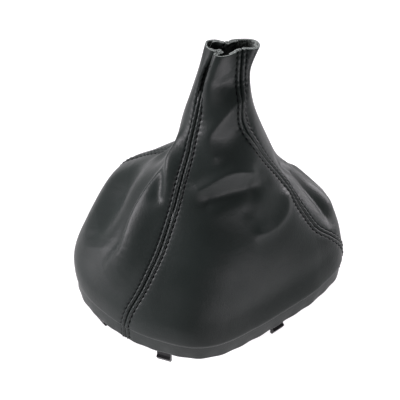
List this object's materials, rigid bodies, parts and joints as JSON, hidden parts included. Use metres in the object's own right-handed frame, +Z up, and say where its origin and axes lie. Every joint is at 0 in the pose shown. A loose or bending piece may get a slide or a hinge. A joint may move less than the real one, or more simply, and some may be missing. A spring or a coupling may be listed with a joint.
{
  "type": "gear lever gaiter",
  "caption": "Black leather gear lever gaiter sewn from tapered panels with double stitched seams, wrapped and stapled over a plastic base frame with snap clips.",
  "frame": {"origin": "on the plane of the clip tips, under the middle of the whole gaiter", "axes": "+Z up towards the mouth, +X towards the centre seam, so that the base frame is alike on both sides of the XZ plane"},
  "size_m": [0.1619, 0.1474, 0.1825],
  "materials": {
    "leather": "smooth semi-matt grained black leather, dark fibrous cut edges",
    "frame_plastic": "fine-textured moulded black plastic",
    "staple_steel": "bright flat staple wire"
  },
  "bodies": {
    "root": {"near_side_panel": "leather", "far_side_panel": "leather", "end_panel": "leather", "clip_frame": "frame_plastic", "staple_01": "staple_steel", "staple_02": "staple_steel", "staple_03": "staple_steel", "staple_04": "staple_steel", "staple_05": "staple_steel", "staple_06": "staple_steel", "staple_07": "staple_steel", "staple_08": "staple_steel", "staple_09": "staple_steel", "staple_10": "staple_steel", "staple_11": "staple_steel", "staple_12": "staple_steel", "staple_13": "staple_steel", "staple_14": "staple_steel", "staple_15": "staple_steel", "staple_16": "staple_steel", "staple_17": "staple_steel", "staple_18": "staple_steel", "staple_19": "staple_steel", "staple_20": "staple_steel", "staple_21": "staple_steel", "staple_22": "staple_steel", "staple_23": "staple_steel", "staple_24": "staple_steel"}
  },
  "joints": []
}
